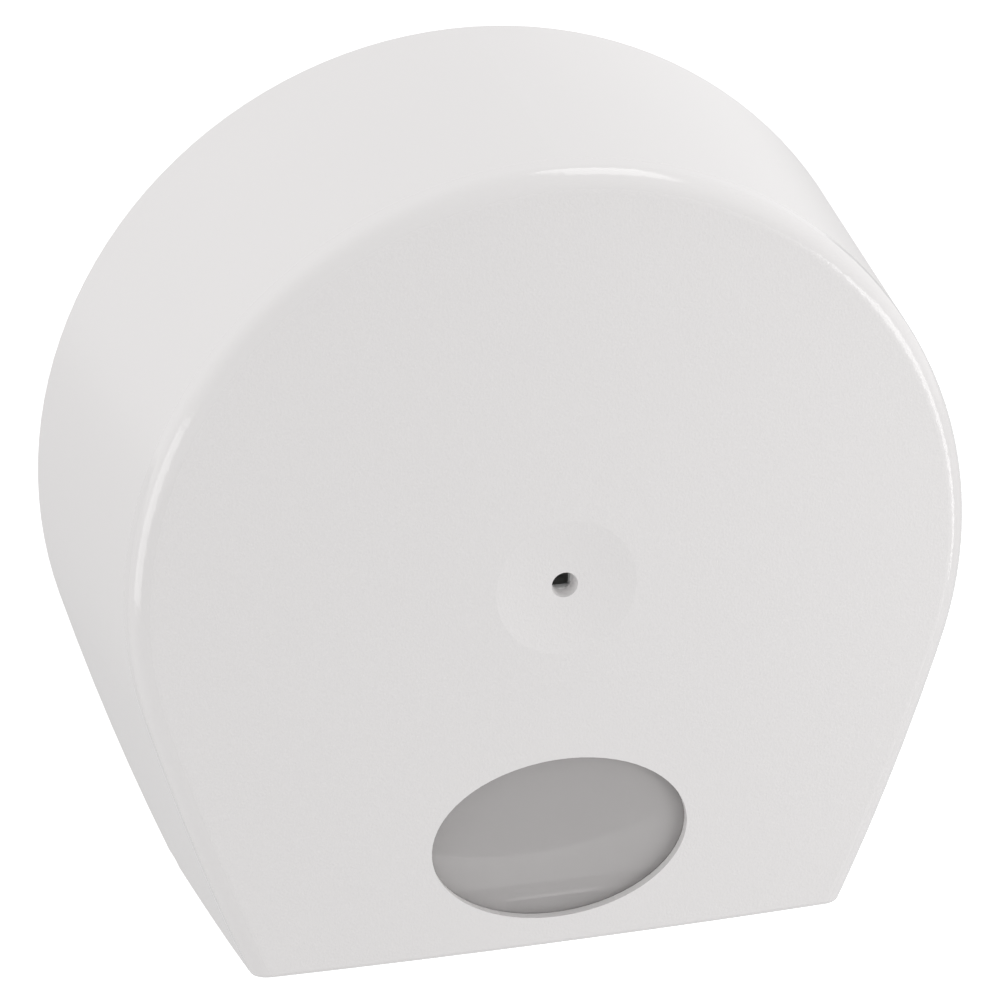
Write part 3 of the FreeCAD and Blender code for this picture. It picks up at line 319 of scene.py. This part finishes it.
acetal, acetal_shader, acetal_place = start_material("pale_acetal")
acetal_cloud = acetal_place.noise(ACETAL_CLOUD_SCALE)
acetal_skin = acetal_place.noise(ACETAL_SKIN_SCALE)
feed(acetal_shader, base_color=acetal_cloud.tint(ACETAL_DARK, ACETAL_LIGHT),
     roughness=ACETAL_ROUGH + ACETAL_ROUGH_SPREAD * acetal_skin, normal=bumped(acetal_skin, ACETAL_RELIEF))
paint(acetal, "feed_nozzle", "nozzle_ring")

# The lock in the cover's right wall is die-cast and nickel plated: its body, its nut and the plug that the
# key turns.
NICKEL_DARK = (0.60, 0.59, 0.57)
NICKEL_LIGHT = (0.70, 0.69, 0.67)
NICKEL_CLOUD_SCALE = 240.0
NICKEL_CLOUD_DETAIL = 3.0
NICKEL_SKIN_SCALE = 1500.0
NICKEL_ROUGH = 0.18
NICKEL_ROUGH_SPREAD = 0.14
NICKEL_RELIEF = 0.00001

nickel, nickel_shader, nickel_place = start_material("nickel_plated_casting")
nickel_cloud = nickel_place.noise(NICKEL_CLOUD_SCALE, NICKEL_CLOUD_DETAIL)
nickel_skin = nickel_place.noise(NICKEL_SKIN_SCALE)
feed(nickel_shader, base_color=nickel_cloud.tint(NICKEL_DARK, NICKEL_LIGHT), metallic=1.0,
     roughness=NICKEL_ROUGH + NICKEL_ROUGH_SPREAD * nickel_cloud, normal=bumped(nickel_skin, NICKEL_RELIEF))
paint(nickel, "lock_body", "lock_nut", "lock_plug")

# The set is a pale floor well below the dispenser, which hangs as on a wall, under an even white dome with
# soft lamps on its right, on its left and above. What the camera sees past the object is white. Each lamp
# has its place, its width and height, and its power.
FLOOR_DROP = 0.6
FLOOR_HALF = 6.0
FLOOR_CORNERS = ((-1, -1), (1, -1), (1, 1), (-1, 1))
FLOOR_DARK = (0.61, 0.61, 0.61)
FLOOR_LIGHT = (0.63, 0.63, 0.63)
FLOOR_GLOW = (0.65, 0.65, 0.65)
FLOOR_SPECK_SCALE = 60.0
FLOOR_ROUGH = 0.9
DOME_LIGHT = 0.84
RIGHT_LAMP = ((1.2, -1.05, -0.25), (0.7, 0.9), 7.3)
LEFT_LAMP = ((-1.4, -0.3, -0.05), (0.8, 0.9), 4.6)
HIGH_LAMP = ((0.6, 0.13, 1.45), (1.0, 0.6), 4.5)


def seen_mask(start, *rays):
    """1 for the kinds of ray that show the background, and 0 for the light that falls on things."""
    mask = start.node("LightPath", output=rays[0])
    for ray in rays[1:]:
        mask = mask.maths("MAXIMUM", mask, start.node("LightPath", output=ray))
    return mask


floor_mesh = bpy.data.meshes.new("floor")
floor_z = cad_box[0].z - FLOOR_DROP
floor_mesh.from_pydata([(x * FLOOR_HALF, y * FLOOR_HALF, floor_z) for x, y in FLOOR_CORNERS],
                       [], [(0, 1, 2, 3)])
floor = bpy.data.objects.new("floor", floor_mesh)
bpy.context.scene.collection.objects.link(floor)
floor_paint, floor_shader, floor_place = start_material("pale_floor")
floor_speck = floor_place.noise(FLOOR_SPECK_SCALE)
floor_seen = seen_mask(floor_place, "Is Camera Ray", "Is Transmission Ray")
feed(floor_shader, base_color=floor_speck.tint(FLOOR_DARK, FLOOR_LIGHT), roughness=FLOOR_ROUGH,
     emission_color=floor_seen.tint((0, 0, 0), FLOOR_GLOW), emission_strength=1.0)
floor_mesh.materials.append(floor_paint)

world = bpy.data.worlds.new("studio")
world.use_nodes = True
bpy.context.scene.world = world
dome = world.node_tree.nodes["Background"]
dome_seen = seen_mask(Socket(world.node_tree), "Is Camera Ray", "Is Glossy Ray", "Is Transmission Ray")
dome_strength = DOME_LIGHT + (1 - DOME_LIGHT) * dome_seen
world.node_tree.links.new(dome_strength.output, dome.inputs["Strength"])
dome.inputs["Color"].default_value = (1, 1, 1, 1)

for lamp_place, (lamp_width, lamp_height), lamp_power in (RIGHT_LAMP, LEFT_LAMP, HIGH_LAMP):
    lamp = bpy.data.lights.new("soft_lamp", "AREA")
    lamp.shape = "RECTANGLE"
    lamp.size = lamp_width
    lamp.size_y = lamp_height
    lamp.energy = lamp_power
    lamp_object = bpy.data.objects.new("soft_lamp", lamp)
    lamp_object.location = lamp_place
    lamp_object.rotation_euler = (-Vector(lamp_place)).to_track_quat("-Z", "Y").to_euler()
    bpy.context.scene.collection.objects.link(lamp_object)

# The camera stands a little to the left of the dispenser and above it, turned slightly about its own line
# of sight. Its lens is long: the focal length is several times the sensor's width.
CAMERA_AZIMUTH = math.radians(-15.02)
CAMERA_ELEVATION = math.radians(23.9)
CAMERA_ROLL = math.radians(0.34)
CAMERA_DISTANCE = 1.22
CAMERA_TARGET = Vector((-0.01277, -0.092, 0.01852))
SENSOR_WIDTH = 36.0
FOCAL_SHARE = 3.637

camera = bpy.data.cameras.new("camera")
camera.sensor_width = SENSOR_WIDTH
camera.lens = FOCAL_SHARE * SENSOR_WIDTH
camera_object = bpy.data.objects.new("camera", camera)
level = math.cos(CAMERA_ELEVATION)
back = Vector((math.sin(CAMERA_AZIMUTH) * level,
               -math.cos(CAMERA_AZIMUTH) * level,
               math.sin(CAMERA_ELEVATION)))
right = Vector((math.cos(CAMERA_AZIMUTH), math.sin(CAMERA_AZIMUTH), 0))
up = back.cross(right)
turned_right = right * math.cos(CAMERA_ROLL) + up * math.sin(CAMERA_ROLL)
turned_up = back.cross(turned_right)
turn = Matrix((turned_right, turned_up, back)).transposed().to_4x4()
camera_object.matrix_world = Matrix.Translation(CAMERA_TARGET + back * CAMERA_DISTANCE) @ turn
bpy.context.scene.collection.objects.link(camera_object)
bpy.context.scene.camera = camera_object
bpy.context.scene.view_settings.view_transform = "Standard"
